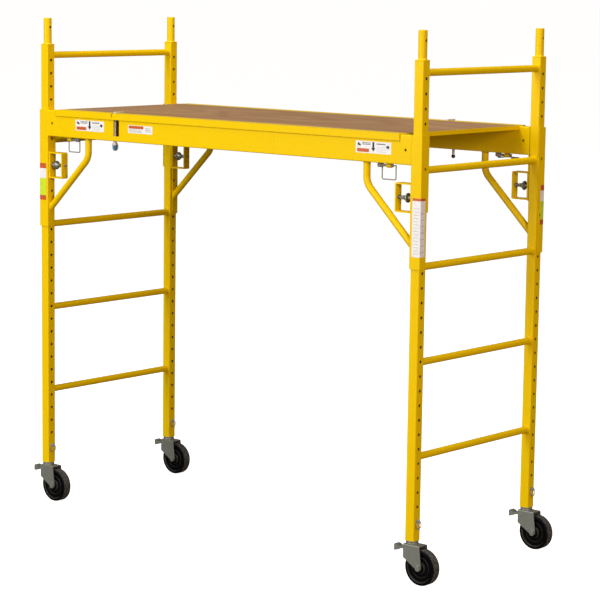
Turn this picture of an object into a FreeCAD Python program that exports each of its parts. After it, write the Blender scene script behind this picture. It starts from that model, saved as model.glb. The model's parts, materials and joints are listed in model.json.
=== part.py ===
import FreeCAD, Part
import math
import os

from FreeCAD import Vector

# A baker scaffold: two end frames on casters carry a platform that hangs on their legs by four sleeves.
# Millimetres. +X runs along the platform, +Y from the front to the back, +Z up. The origin is on the floor,
# at the middle of the footprint, which reaches further to the right, where the caster wheels trail.

# End frames
hole_pitch = 50.8
first_hole_z = 221.0
leg_hole_count = 31
hole_radius = 5.5
half_length = 916.0
half_width = 345.0
leg_size = 38.1
leg_wall = 2.0
leg_corner = 4.0
leg_bottom = 152.0
leg_top = 1806.0
rung_radius = 12.7
rung_wall = 2.0
rung_count = 5
rung_pitch = 330.2
lowest_rung_z = 444.0
stub_radius = 15.5
stub_wall = 2.5
stub_foot = 1768.0
stub_top = 1908.0
stub_hole_z = first_hole_z + 32.5 * hole_pitch
stub_hole_radius = 5.0
stub_chamfer = 2.0
stub_collar_height = 6.0

# Casters, which all trail towards +X
wheel_radius = 63.5
wheel_width = 38.0
wheel_hub_radius = 19.0
wheel_web = 26.0
wheel_web_slope = 3.0
wheel_ridge_radius = 36.0
wheel_ridge = 2.0
wheel_rim_depth = 13.0
tread_corner = 6.0
wheel_bore_radius = 6.05
caster_trail = 46.0
fork_gap = 1.5
fork_plate = 3.0
fork_top = 140.0
fork_front = -22.0
fork_knee_z = 92.0
fork_shoulder = 47.0
fork_eye_radius = 10.5
axle_radius = 6.0
axle_head_flats = 19.0
axle_head_length = 6.5
stem_radius = 16.0
stem_height = 100.0
stem_collar_radius = 22.5
king_pin_radius = 6.0
king_pin_head_radius = 10.0
turning_gap = 0.3
running_clearance = 0.05

# Foot brake, one on each caster
pedal_pivot_x = -12.0
pedal_pivot_z = 127.0
pedal_pin_radius = 3.0
pedal_boss_radius = 5.5
pedal_half_width = 13.0
pedal_arm_inset = 2.0
pedal_reach = 70.0
pedal_lever_half = 4.5
pedal_droop = 8.0
pedal_tread_length = 20.0
pedal_tread_half = 12.0
pedal_tread_edge = 3.0
shoe_gap = 3.2
shoe_depth = 4.5
shoe_start = 132.0
shoe_end = 152.0

# Lock pin that holds each caster stem in its leg, with a wire ring
lock_pin_radius = 4.75
lock_pin_collar_radius = 7.0
ring_eye_x = 27.0
ring_eye_radius = 2.4
ring_radius = 13.0
ring_wire = 1.5
tab_half_thickness = 2.5
tab_half_height = 5.0

# Sleeves: three-sided channels that slide on the legs
sleeve_gap = 0.7
sleeve_wall = 3.2
sleeve_corner = 3.0
sleeve_bottom = 1098.0
sleeve_step_z = 1292.0
sleeve_step_depth = 10.0
sleeve_outer = leg_size / 2 + sleeve_gap + sleeve_wall
sleeve_hole_steps = (20, 24)
pin_step = 22
pin_z = first_hole_z + pin_step * hole_pitch

# Side rails and the platform on them
platform_top = 1556.5
edge_thickness = 3.2
edge_lip_height = 23.5
edge_lip_gap = 1.5
rail_top = platform_top - edge_thickness
rail_height = 101.6
rail_bottom = rail_top - rail_height
rail_wall = 3.0
rail_corner = 4.0
rail_outer = sleeve_outer
rail_inner = -leg_size / 2
rail_middle = (rail_inner + rail_outer) / 2
rail_hole_inset = 24.0
rail_hole_radius = 5.0
platform_end = 848.0
deck_gap = 0.3
deck_half_width = half_width + rail_inner - deck_gap
board_thickness = 12.0
board_gap = 0.5
ledge_width = 25.5
joist_size = 25.4
joist_places = (-420.0, 0.0, 420.0)
joist_wall = 2.0
screw_radius = 2.5
screw_head_radius = 4.6
screw_head_depth = 2.4
screw_length = 18.0

# Diagonal braces
brace_radius = 12.7
brace_wall = 2.0
brace_x = 687.0
brace_corner_z = 1377.0
brace_foot_z = 1175.0
brace_bend_radius = 60.0

# Spring pins in flat-bar brackets, one on each sleeve
bracket_reach = 72.0
bracket_height = 101.6
bracket_bar = 5.0
bracket_half_width = 15.5
bracket_corner = 6.0
pin_radius = 4.75
pin_tail_radius = 4.0
pin_nose_depth = 10.0
pin_tail_overhang = 8.0
pin_flange_radius = 17.0
pin_flange_thickness = 4.0
pin_finger_room = 19.0
pin_shoulder_radius = 7.0
pin_hub_radius = 13.0
pin_hub_length = 12.0
spring_outer_radius = 7.8
spring_wire = 1.6

# Wire-lock pins kept in short tubes under the rails
store_tube_radius = 8.0
store_tube_bore = 5.1
store_tube_start = 777.0
store_tube_end = 796.0
snapper_radius = 4.75
snapper_head_radius = 8.0
snapper_head_start = 737.0
snapper_head_end = 756.0
snapper_tip = 802.0
bail_wire = 2.2
bail_pivot_x = 746.0
bail_pivot_radius = 2.0
bail_far_x = 806.0
bail_drop = 49.0
bail_corner = 6.0
bail_side_gap = 0.5
turned_pin_corner = ("right", "back")
turned_pin_angle = 90.0

# Platform latches: the front one is at the left, the back one at the right
latch_x = 533.0
latch_y = 12.5
latch_radius = 5.0
latch_foot_z = 1420.0
latch_finger_length = 46.0
latch_finger_half_width = 5.0
latch_finger_thickness = 4.0
latch_finger_gap = 2.2
latch_notch_half_width = 7.0
latch_notch_depth = 14.0
latch_slot_near = 501.0
latch_slot_far = 531.0
latch_slot_bottom = 1471.0
latch_slot_overlap = 4.0
latch_barrel_radius = 7.5
latch_barrel_foot = 1436.0
latch_barrel_top = 1450.0
tip_radius = 7.0
tip_foot = 1416.0
ball_radius = 7.5
ball_z = 1424.0
disc_radius = 17.0
disc_thickness = 2.5
disc_z = 1431.0
disc_offset = 7.0

# Labels
label_thickness = 0.25
large_label = (155.0, 41.0)
small_label = (127.0, 30.0)
rail_label_z = 1503.0
rail_labels = ((-659.0, large_label), (-389.0, small_label), (730.0, large_label))
tall_label = (1141.0, 1342.0, 35.0, 26.0)
short_label = (1201.0, 1345.0, 37.0, 24.0)

# The footprint's middle is left of its right-hand end by this much more than the frames' middle is
frame_middle_x = (pedal_reach - caster_trail - wheel_radius) / 2

SIDES = {"left": -1, "right": 1}
DEPTHS = {"front": -1, "back": 1}
X = Vector(1, 0, 0)
Y = Vector(0, 1, 0)
Z = Vector(0, 0, 1)


def box(x0, x1, y0, y1, z0, z1):
    return Part.makeBox(x1 - x0, y1 - y0, z1 - z0, Vector(x0, y0, z0))


def rod(start, direction, length, radius):
    return Part.makeCylinder(radius, length, start, direction)


def tube(start, direction, length, radius, wall):
    return rod(start, direction, length, radius).cut(rod(start, direction, length, radius - wall))


def prism(points, direction):
    wire = Part.makePolygon(points + [points[0]])
    return Part.Face(wire).extrude(direction)


def rounded_outline(x0, x1, y0, y1, z, radius):
    """A closed rectangle in the XY plane with its corners rounded."""
    centres = [(x1 - radius, y1 - radius), (x0 + radius, y1 - radius)]
    centres += [(x0 + radius, y0 + radius), (x1 - radius, y0 + radius)]
    arcs = []
    for quarter, (cx, cy) in enumerate(centres):
        circle = Part.Circle(Vector(cx, cy, z), Z, radius)
        start = quarter * math.pi / 2
        arcs.append(Part.Arc(circle, start, start + math.pi / 2).toShape())
    edges = []
    for arc, following in zip(arcs, arcs[1:] + arcs[:1]):
        edges += [arc, Part.makeLine(arc.lastVertex().Point, following.firstVertex().Point)]
    return Part.Wire(edges)


def rounded_bar(x0, x1, y0, y1, z0, z1, radius):
    outline = rounded_outline(x0, x1, y0, y1, z0, radius)
    return Part.Face(outline).extrude(Vector(0, 0, z1 - z0))


def square_bar(size, corner, z0, z1):
    half = size / 2
    return rounded_bar(-half, half, -half, half, z0, z1, corner)


def hexagon(start, direction, length, flats):
    """A hexagonal bar along Y."""
    radius = flats / math.sqrt(3)
    points = []
    for corner in range(6):
        angle = math.radians(60 * corner)
        points.append(start + Vector(radius * math.cos(angle), 0, radius * math.sin(angle)))
    return prism(points, direction * length)


def hole_z(step):
    return first_hole_z + step * hole_pitch


def cross_holes(steps, radius, reach):
    return Part.makeCompound([rod(Vector(-reach, 0, hole_z(k)), X, 2 * reach, radius) for k in steps])


def at_corner(shape, side, depth):
    """Places a shape made for a corner: x points along the platform to its middle, y outwards."""
    placed = shape.copy()
    if side > 0:
        placed = placed.mirror(Vector(0, 0, 0), X)
    if depth < 0:
        placed = placed.mirror(Vector(0, 0, 0), Y)
    placed.translate(Vector(side * half_length, depth * half_width, 0))
    return placed


def at_rail(shape, depth):
    """Places a shape made for the back rail, its y outwards. The front rail is the back one turned round."""
    placed = shape.copy()
    if depth < 0:
        placed.rotate(Vector(0, 0, 0), Z, 180)
    placed.translate(Vector(0, depth * half_width, 0))
    return placed


def at_caster(shape, side, depth):
    placed = shape.copy()
    placed.translate(Vector(side * half_length, depth * half_width, 0))
    return placed


def leg():
    outer = square_bar(leg_size, leg_corner, leg_bottom, leg_top)
    inner = square_bar(leg_size - 2 * leg_wall, leg_corner - leg_wall, leg_bottom, leg_top)
    return outer.cut(inner).cut(cross_holes(range(leg_hole_count), hole_radius, leg_size))


def rung(level):
    start = -half_width + leg_size / 2
    z = lowest_rung_z + level * rung_pitch
    return tube(Vector(0, start, z), Y, -2 * start, rung_radius, rung_wall)


def coupling_stub():
    """The round spigot on top of a leg, with a collar that closes the square tube."""
    base = square_bar(leg_size, leg_corner, leg_top, leg_top + 1)
    shoulder = Vector(0, 0, leg_top + 1)
    cone = Part.makeCone(leg_size / 2, stub_radius, stub_collar_height - 1, shoulder, Z)
    length = stub_top - stub_foot - stub_chamfer
    spigot = rod(Vector(0, 0, stub_foot), Z, length, stub_radius)
    nose_start = Vector(0, 0, stub_top - stub_chamfer)
    nose = Part.makeCone(stub_radius, stub_radius - stub_chamfer, stub_chamfer, nose_start, Z)
    bore = rod(Vector(0, 0, stub_foot), Z, stub_top - stub_foot, stub_radius - stub_wall)
    cross = rod(Vector(-leg_size, 0, stub_hole_z), X, 2 * leg_size, stub_hole_radius)
    return base.fuse([cone, spigot, nose]).cut(bore).cut(cross).removeSplitter()


def caster_stem():
    """The stem that stands in a leg, its collar, and the king pin that the fork turns on."""
    stem = rod(Vector(0, 0, leg_bottom), Z, stem_height - 3, stem_radius)
    nose = Part.makeCone(stem_radius, stem_radius - 3, 3, Vector(0, 0, leg_bottom + stem_height - 3), Z)
    collar_foot = fork_top + turning_gap
    collar = rod(Vector(0, 0, collar_foot), Z, leg_bottom - collar_foot, stem_collar_radius)
    head_top = fork_top - fork_plate - turning_gap
    pin = rod(Vector(0, 0, head_top), Z, leg_bottom - head_top, king_pin_radius)
    head = rod(Vector(0, 0, head_top - 3), Z, 3, king_pin_head_radius)
    lock_hole = rod(Vector(-leg_size, 0, first_hole_z), X, 2 * leg_size, hole_radius)
    groove_z = (collar_foot + leg_bottom) / 2
    groove = Part.makeTorus(stem_collar_radius + 1, 2, Vector(0, 0, groove_z), Z)
    return stem.fuse([nose, collar, pin, head]).cut(lock_hole).cut(groove).removeSplitter()


def lock_pin():
    """Goes through the leg and the stem from the +X side, with a flat eye for its ring."""
    collar_start = leg_size / 2 + 0.3
    tail = -leg_size / 2 - 7
    shank = rod(Vector(tail, 0, first_hole_z), X, collar_start - tail, lock_pin_radius)
    collar = rod(Vector(collar_start, 0, first_hole_z), X, 3, lock_pin_collar_radius)
    tab_end = ring_eye_x + tab_half_height
    low, high = first_hole_z - tab_half_height, first_hole_z + tab_half_height
    tab = box(collar_start + 3, tab_end, -tab_half_thickness, tab_half_thickness, low, high)
    eye = rod(Vector(ring_eye_x, -leg_size, first_hole_z), Y, 2 * leg_size, ring_eye_radius)
    return shank.fuse([collar, tab]).cut(eye).removeSplitter()


def lock_pin_ring():
    return Part.makeTorus(ring_radius, ring_wire, Vector(ring_eye_x, 0, first_hole_z - ring_radius), X)


def fork_side_outline(y):
    """A tapering side plate: straight down at the front, then in to the round axle eye."""
    centre = Vector(caster_trail, y, wheel_radius)
    knee = Vector(fork_front, y, fork_knee_z)
    shoulder = Vector(fork_shoulder, y, fork_top)
    low = tangent_point(knee, centre, fork_eye_radius, -1)
    high = tangent_point(shoulder, centre, fork_eye_radius, 1)
    below = Vector(centre.x + fork_eye_radius * 0.6, y, centre.z - fork_eye_radius * 0.8)
    corners = [high, shoulder, Vector(fork_front, y, fork_top), knee, low]
    edges = [Part.makeLine(a, b) for a, b in zip(corners, corners[1:])]
    return Part.Wire(edges + [Part.Arc(low, below, high).toShape()])


def tangent_point(point, centre, radius, turn):
    """Where a line from a point outside a circle in an XZ plane touches it."""
    dx, dz = point.x - centre.x, point.z - centre.z
    distance = math.hypot(dx, dz)
    angle = math.atan2(dz, dx) - turn * math.acos(radius / distance)
    return Vector(centre.x + radius * math.cos(angle), point.y, centre.z + radius * math.sin(angle))


def fork():
    inner = wheel_width / 2 + fork_gap
    outer = inner + fork_plate
    block = Part.Face(fork_side_outline(-outer)).extrude(Vector(0, 2 * outer, 0))
    top_edges = [e for e in block.Edges if is_long_top_edge(e)]
    block = block.makeFillet(fork_plate, top_edges)
    hollow = box(fork_front - 1, 2 * caster_trail, -inner, inner, 0, fork_top - fork_plate)
    king_hole = rod(Vector(0, 0, 0), Z, 2 * fork_top, king_pin_radius + running_clearance)
    axle_place = Vector(caster_trail, -outer - 1, wheel_radius)
    axle_hole = rod(axle_place, Y, 2 * outer + 2, axle_radius + running_clearance)
    pivot = Vector(pedal_pivot_x, -outer - 1, pedal_pivot_z)
    pivot_hole = rod(pivot, Y, 2 * outer + 2, pedal_pin_radius + running_clearance)
    return block.cut(hollow).cut(king_hole).cut(axle_hole).cut(pivot_hole).removeSplitter()


def is_long_top_edge(edge):
    """The two edges along X where the fork's top meets its sides."""
    bounds = edge.BoundBox
    return bounds.ZMin > fork_top - 0.01 and bounds.YLength < 0.01 and bounds.XLength > caster_trail


def axle():
    """A bolt through the fork and the wheel, with its head at the back and its nut at the front."""
    outer = wheel_width / 2 + fork_gap + fork_plate
    shank_start = -outer - axle_head_length - 1
    shank = rod(Vector(caster_trail, shank_start, wheel_radius), Y, outer - shank_start, axle_radius)
    head = hexagon(Vector(caster_trail, outer, wheel_radius), Y, axle_head_length, axle_head_flats)
    nut_start = Vector(caster_trail, -outer - axle_head_length, wheel_radius)
    nut = hexagon(nut_start, Y, axle_head_length, axle_head_flats)
    return shank.fuse([head, nut]).removeSplitter()


def wheel():
    """A moulded wheel turned about its axle: hub, web, a ridge round the web, and a rounded tread."""
    half, web = wheel_width / 2, wheel_web / 2
    ridge, top = wheel_ridge_radius, wheel_web / 2 + wheel_ridge
    rim = wheel_radius - wheel_rim_depth
    outline = [(wheel_bore_radius, half), (wheel_hub_radius, half), (wheel_hub_radius + wheel_web_slope, web)]
    outline += [(ridge - wheel_ridge, web), (ridge - wheel_ridge / 2, top), (ridge + wheel_ridge / 2, top)]
    outline += [(ridge + wheel_ridge, web), (rim, web), (rim + wheel_web_slope, half)]
    outline += [(wheel_radius - tread_corner, half)]
    right = [Vector(r, y, 0) for r, y in outline]
    left = [Vector(r, -y, 0) for r, y in outline]
    crown_end = half - tread_corner
    bend = tread_corner * (1 - math.sqrt(0.5))
    right_arc = Part.Arc(
        right[-1], Vector(wheel_radius - bend, half - bend, 0), Vector(wheel_radius, crown_end, 0)
    ).toShape()
    left_arc = Part.Arc(
        Vector(wheel_radius, -crown_end, 0), Vector(wheel_radius - bend, bend - half, 0), left[-1]
    ).toShape()
    edges = [Part.makeLine(a, b) for a, b in zip(right, right[1:])]
    edges += [right_arc, Part.makeLine(right_arc.lastVertex().Point, left_arc.firstVertex().Point), left_arc]
    edges += [Part.makeLine(a, b) for a, b in zip(left[::-1], left[-2::-1])]
    edges += [Part.makeLine(left[0], right[0])]
    turned = Part.Face(Part.Wire(edges)).revolve(Vector(0, 0, 0), Y, 360)
    turned.translate(Vector(caster_trail, 0, wheel_radius))
    return turned


def brake_pedal():
    """A foot lever with a flared tread, the boss it turns on, and the shoe that meets the wheel."""
    inside = wheel_width / 2 + fork_gap - turning_gap
    outer = wheel_width / 2 + fork_gap + fork_plate
    boss = rod(Vector(pedal_pivot_x, -inside, pedal_pivot_z), Y, 2 * inside, pedal_boss_radius)
    pin = rod(Vector(pedal_pivot_x, -outer, pedal_pivot_z), Y, 2 * outer, pedal_pin_radius)
    tip = -pedal_reach
    root = tip + pedal_tread_length
    edge = pedal_tread_edge
    shoulder = pedal_tread_half - edge
    lever_end = [(root - edge, pedal_lever_half), (root - edge, -pedal_lever_half)]
    lever_end = [(x, height - pedal_droop) for x, height in lever_end]
    at_boss = [(pedal_pivot_x, -pedal_boss_radius), (pedal_pivot_x, pedal_boss_radius)]
    lever = pedal_profile(at_boss + lever_end)
    upper = [(root, pedal_lever_half), (root - 2 * edge, shoulder)]
    upper += [(tip + edge, pedal_tread_half), (tip, shoulder)]
    lower = [(x, -height) for x, height in upper[::-1]]
    tread = pedal_profile([(x, height - pedal_droop) for x, height in upper + lower])
    arm = prism(lever, Vector(0, 2 * (pedal_half_width - pedal_arm_inset), 0))
    arm.translate(Vector(0, pedal_arm_inset - pedal_half_width, 0))
    foot = prism(tread, Vector(0, 2 * pedal_half_width, 0))
    foot.translate(Vector(0, -pedal_half_width, 0))
    return boss.fuse([pin, arm, foot, brake_shoe()]).removeSplitter()


def pedal_profile(outline):
    """Points in the plane y = 0, given as x and the height above the pedal's pivot."""
    return [Vector(x, 0, pedal_pivot_z + height) for x, height in outline]


def brake_shoe():
    centre = Vector(caster_trail, 0, wheel_radius)
    near = wheel_radius + shoe_gap
    far = near + shoe_depth
    ends = []
    for angle in (shoe_start, shoe_end):
        turn = math.radians(angle)
        ends.append(centre + Vector(far * math.cos(turn), 0, far * math.sin(turn)))
        ends.append(centre + Vector((near - 3) * math.cos(turn), 0, (near - 3) * math.sin(turn)))
    root = Vector(pedal_pivot_x, 0, pedal_pivot_z)
    outline = [root + Vector(5, 0, 0), ends[0], ends[1], ends[3], ends[2], root - Vector(5, 0, 0)]
    width = wheel_width - 6
    shoe = prism(outline, Vector(0, width, 0))
    shoe.translate(Vector(0, -width / 2, 0))
    wheel_room = rod(Vector(centre.x, -wheel_width, centre.z), Y, 2 * wheel_width, near)
    return shoe.cut(wheel_room)


def sleeve():
    inner = leg_size / 2 + sleeve_gap
    outer = sleeve_outer
    shell = rounded_bar(-outer, outer, -leg_size, outer, sleeve_bottom, rail_top, sleeve_corner)
    shell = shell.cut(box(-outer, outer, -leg_size - 1, -leg_size / 2, sleeve_bottom, rail_top))
    room = rounded_bar(-inner, inner, -2 * leg_size, inner, sleeve_bottom, rail_top, leg_corner - sleeve_gap)
    step_end = sleeve_step_depth - leg_size / 2
    step = box(-outer, outer, -leg_size, step_end, sleeve_bottom, sleeve_step_z)
    pin_hole = rod(Vector(0, 0, pin_z), X, leg_size, hole_radius)
    holes = cross_holes(sleeve_hole_steps, hole_radius, leg_size)
    return shell.cut(room).cut(step).cut(holes).cut(pin_hole).removeSplitter()


def rail():
    """The back rail: a rectangular tube between the sleeves, with a bolt hole through it near each end."""
    end = half_length - sleeve_outer
    bar = box(-end, end, rail_inner, rail_outer, rail_bottom, rail_top)
    bar = bar.makeFillet(rail_corner, [e for e in bar.Edges if e.BoundBox.XLength > end])
    low, high = rail_bottom + rail_wall, rail_top - rail_wall
    bar = bar.cut(box(-end, end, rail_inner + rail_wall, rail_outer - rail_wall, low, high))
    for side in (-1, 1):
        place = Vector(side * (end - rail_hole_inset), -leg_size, (rail_bottom + rail_top) / 2)
        bar = bar.cut(rod(place, Y, 2 * leg_size, rail_hole_radius))
    slot_top = platform_top - edge_lip_height + latch_slot_overlap
    slot = box(latch_slot_near, latch_slot_far, rail_middle, leg_size, latch_slot_bottom, slot_top)
    latch_foot = Vector(latch_x, latch_y, rail_bottom - 1)
    latch_hole = rod(latch_foot, Z, rail_height + 2, latch_radius + running_clearance)
    return bar.cut(slot).cut(latch_hole)


def brace():
    """A bent tube from under the rail to the sleeve, for a corner."""
    x = half_length - brace_x
    top = Vector(x, rail_middle, rail_bottom)
    corner = Vector(x, rail_middle, brace_corner_z)
    foot = Vector(sleeve_outer, rail_middle, brace_foot_z)
    run = (foot - corner).normalize()
    turn = math.acos(-run.z)
    cut_back = brace_bend_radius * math.tan(turn / 2)
    bend_start = corner + Z * cut_back
    bend_end = corner + run * cut_back
    bisector = ((bend_start - corner) + (bend_end - corner)).normalize()
    centre_distance = brace_bend_radius / math.cos(turn / 2)
    bend_middle = corner + bisector * (centre_distance - brace_bend_radius)
    past = foot + run * leg_size / 2
    edges = [Part.makeLine(top, bend_start), Part.Arc(bend_start, bend_middle, bend_end).toShape()]
    path = Part.Wire(edges + [Part.makeLine(bend_end, past)])
    outer = sweep_circle(path, top, brace_radius)
    inner = sweep_circle(path, top, brace_radius - brace_wall)
    room = box(-2 * leg_size, sleeve_outer, -2 * leg_size, 2 * leg_size, 0, rail_bottom)
    return outer.cut(inner).cut(room)


def sweep_circle(path, start, radius):
    profile = Part.Wire(Part.makeCircle(radius, start, Z))
    return path.makePipeShell([profile], True, True)


def pin_bracket():
    """A closed loop of flat bar on the sleeve's inner side, for a corner."""
    low, high = pin_z - bracket_height / 2, pin_z + bracket_height / 2
    start, end = sleeve_outer, sleeve_outer + bracket_reach
    loop = bracket_block(start, end, low, high, bracket_corner)
    room = bracket_block(
        start + bracket_bar, end - bracket_bar, low + bracket_bar, high - bracket_bar, bracket_corner / 2
    )
    nose_hole = rod(Vector(0, 0, pin_z), X, start + 2 * bracket_bar, pin_radius + running_clearance)
    tail_place = Vector(end - 2 * bracket_bar, 0, pin_z)
    tail_hole = rod(tail_place, X, 3 * bracket_bar, pin_tail_radius + running_clearance)
    return loop.cut(room).cut(nose_hole).cut(tail_hole)


def bracket_block(x0, x1, z0, z1, corner):
    """A block across the bracket's width, with its corners away from the leg rounded."""
    block = box(x0, x1, -bracket_half_width, bracket_half_width, z0, z1)
    far = [e for e in block.Edges if e.BoundBox.XMin > x1 - 0.01 and e.BoundBox.YLength > 1]
    return block.makeFillet(corner, far)


def pin_flange_start():
    """The flange stands off the bracket's foot, so that two fingers fit behind it."""
    return sleeve_outer + bracket_bar + pin_finger_room


def spring_pin():
    """Nose in the leg's hole, a shoulder, a flange to pull, a tapering hub and a tail."""
    shoulder_start = sleeve_outer + bracket_bar + 1
    flange_start = pin_flange_start()
    hub_start = flange_start + pin_flange_thickness
    hub_end = hub_start + pin_hub_length
    tail_end = sleeve_outer + bracket_reach + pin_tail_overhang
    nose_start = leg_size / 2 - pin_nose_depth
    nose = rod(Vector(nose_start + 2, 0, pin_z), X, shoulder_start - nose_start - 2, pin_radius)
    point = Part.makeCone(pin_radius - 1.5, pin_radius, 2, Vector(nose_start, 0, pin_z), X)
    shoulder = rod(Vector(shoulder_start, 0, pin_z), X, flange_start - shoulder_start, pin_shoulder_radius)
    flange = rod(Vector(flange_start, 0, pin_z), X, pin_flange_thickness, pin_flange_radius)
    flange = flange.makeFillet(1.5, flange.Edges)
    hub_foot = Vector(hub_start, 0, pin_z)
    hub = Part.makeCone(pin_hub_radius, spring_outer_radius, pin_hub_length, hub_foot, X)
    tail = rod(Vector(hub_end, 0, pin_z), X, tail_end - hub_end, pin_tail_radius)
    return nose.fuse([point, shoulder, flange, hub, tail]).removeSplitter()


def pin_spring():
    """The room that the coil spring takes between the pin's hub and the bracket, as a hollow cylinder."""
    hub_end = pin_flange_start() + pin_flange_thickness + pin_hub_length
    length = sleeve_outer + bracket_reach - bracket_bar - hub_end
    return tube(Vector(hub_end, 0, pin_z), X, length, spring_outer_radius, 2 * spring_wire)


def along_rail_to_corner(x):
    """Distances along the platform from its middle, as a corner's own x."""
    return half_length - x


def store_tube():
    start = Vector(along_rail_to_corner(store_tube_end), rail_middle, store_z())
    length = store_tube_end - store_tube_start
    return tube(start, X, length, store_tube_radius, store_tube_radius - store_tube_bore)


def store_z():
    return rail_bottom - store_tube_radius


def snapper_pin():
    """A pin kept in the store tube. Its head has a cross hole for the bail."""
    z = store_z()
    tip = Vector(along_rail_to_corner(snapper_tip), rail_middle, z)
    shank = rod(tip, X, snapper_tip - snapper_head_end, snapper_radius)
    groove = Part.makeTorus(snapper_radius + 0.6, 1.2, tip + X * 3, X)
    head_start = Vector(along_rail_to_corner(snapper_head_end), rail_middle, z)
    head = rod(head_start, X, snapper_head_end - snapper_head_start, snapper_head_radius)
    head = head.makeFillet(1.5, head.Edges)
    pivot = Vector(along_rail_to_corner(bail_pivot_x), rail_middle - 2 * snapper_head_radius, z)
    cross = rod(pivot, Y, 4 * snapper_head_radius, bail_pivot_radius + running_clearance)
    return shank.fuse(head).cut(groove).cut(cross).removeSplitter()


def bail():
    """A wire that turns in the pin's head, hangs in a square loop, and closes over the pin's tip."""
    z = store_z()
    side = rail_middle - snapper_head_radius - bail_wire - bail_side_gap
    near = along_rail_to_corner(bail_pivot_x)
    far = along_rail_to_corner(bail_far_x)
    floor = z - bail_drop
    tip_bar_x = along_rail_to_corner(snapper_tip) - bail_wire - 0.8
    near_end, far_end = Vector(near, side, z), Vector(far, side, z)
    wire = bent_wire([near_end, Vector(near, side, floor), Vector(far, side, floor), far_end], bail_corner)
    loop = sweep_wire(wire, bail_wire)
    pivot_length = rail_middle - side
    pivot = rod(near_end, Y, pivot_length, bail_pivot_radius)
    closing = rod(Vector(tip_bar_x, side, z), Y, pivot_length + snapper_radius, bail_wire * 0.8)
    elbows = [Part.makeSphere(bail_wire, end) for end in (near_end, far_end)]
    return loop.fuse([pivot, closing] + elbows).removeSplitter()


def turned_in_tube(shape, side_name, depth_name):
    """One of the four pins lies turned in its tube, so that its bail lies flat, outwards under the rail."""
    if (side_name, depth_name) != turned_pin_corner:
        return shape
    turned = shape.copy()
    turned.rotate(Vector(0, rail_middle, store_z()), X, turned_pin_angle)
    return turned


def bent_wire(corners, radius):
    """A path through the corners, with each one but the ends rounded. Its turns are right angles."""
    edges = []
    start = corners[0]
    for before, corner, after in zip(corners, corners[1:], corners[2:]):
        back = (before - corner).normalize()
        on = (after - corner).normalize()
        middle = corner + (back + on) * radius * (1 - math.sqrt(0.5))
        edges.append(Part.makeLine(start, corner + back * radius))
        edges.append(Part.Arc(corner + back * radius, middle, corner + on * radius).toShape())
        start = corner + on * radius
    edges.append(Part.makeLine(start, corners[-1]))
    return Part.Wire(edges)


def sweep_wire(path, radius):
    start = path.Edges[0].firstVertex().Point
    profile = Part.Wire(Part.makeCircle(radius, start, Z))
    return path.makePipeShell([profile], True, True)


def platform_edge_side():
    """The rolled section along the back edge: outside the rail, over its top, and in under the board."""
    lip_inner = rail_outer + edge_lip_gap
    lip_outer = lip_inner + edge_thickness
    drop_outer = rail_inner - deck_gap
    drop_inner = drop_outer - edge_thickness
    lip_foot = platform_top - edge_lip_height
    board_foot = platform_top - board_thickness
    ledge_foot = board_foot - edge_thickness
    ledge_tip = drop_outer - ledge_width
    end = platform_end - edge_thickness
    outline = [(lip_outer, lip_foot), (lip_outer, platform_top), (drop_inner, platform_top)]
    outline += [(drop_inner, board_foot), (ledge_tip, board_foot), (ledge_tip, ledge_foot)]
    outline += [(drop_outer, ledge_foot), (drop_outer, rail_top)]
    outline += [(lip_inner, rail_top), (lip_inner, lip_foot)]
    section = prism([Vector(-end, y, z) for y, z in outline], Vector(2 * end, 0, 0))
    notch_start = latch_x - latch_notch_half_width
    notch_end = latch_x + latch_notch_half_width
    notch_foot = platform_top - latch_notch_depth
    notch_inner = latch_y - latch_notch_half_width
    notch = box(notch_start, notch_end, notch_inner, leg_size, notch_foot, platform_top + 1)
    return section.cut(notch)


def platform_edge_end(side):
    """The angle across one end of the platform, between the two side sections."""
    board_foot = platform_top - board_thickness
    ledge_foot = board_foot - edge_thickness
    inner = platform_end - edge_thickness
    reach = deck_half_width
    ledge_reach = reach - ledge_width
    lip = box(inner, platform_end, -reach, reach, ledge_foot, platform_top)
    ledge = box(inner - ledge_width, inner, -ledge_reach, ledge_reach, ledge_foot, board_foot)
    angle = lip.fuse(ledge).removeSplitter()
    return angle if side > 0 else angle.mirror(Vector(0, 0, 0), X)


def screw_places():
    """The middle of the ledges, along both sides and across both ends."""
    ledge_middle = deck_half_width - edge_thickness - ledge_width / 2
    places = [(x, depth * ledge_middle) for x in (-800, -400, 0, 400, 800) for depth in (-1, 1)]
    end_middle = platform_end - edge_thickness - ledge_width / 2
    places += [(side * end_middle, y) for side in (-1, 1) for y in (-160, 160)]
    return places


def screw(x, y, clearance):
    """A countersunk screw through the board and its ledge. Clearance widens it into the hole it needs."""
    head_foot = Vector(x, y, platform_top - screw_head_depth)
    radius, head_radius = screw_radius + clearance, screw_head_radius + clearance
    head = Part.makeCone(radius, head_radius, screw_head_depth, head_foot, Z)
    shank_foot = Vector(x, y, platform_top - screw_length)
    return head.fuse(rod(shank_foot, Z, screw_length - screw_head_depth, radius)).removeSplitter()


def screw_holes():
    return Part.makeCompound([screw(x, y, 0.1) for x, y in screw_places()])


def board():
    end = platform_end - edge_thickness - board_gap
    width = deck_half_width - edge_thickness - board_gap
    return box(-end, end, -width, width, platform_top - board_thickness, platform_top)


def joist(x):
    """A square tube across under the board, between the two side ledges."""
    top = platform_top - board_thickness
    foot = top - joist_size
    reach = deck_half_width - ledge_width
    half = joist_size / 2
    outer = box(x - half, x + half, -reach, reach, foot, top)
    half -= joist_wall
    inner = box(x - half, x + half, -reach, reach, foot + joist_wall, top - joist_wall)
    return outer.cut(inner)


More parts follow.
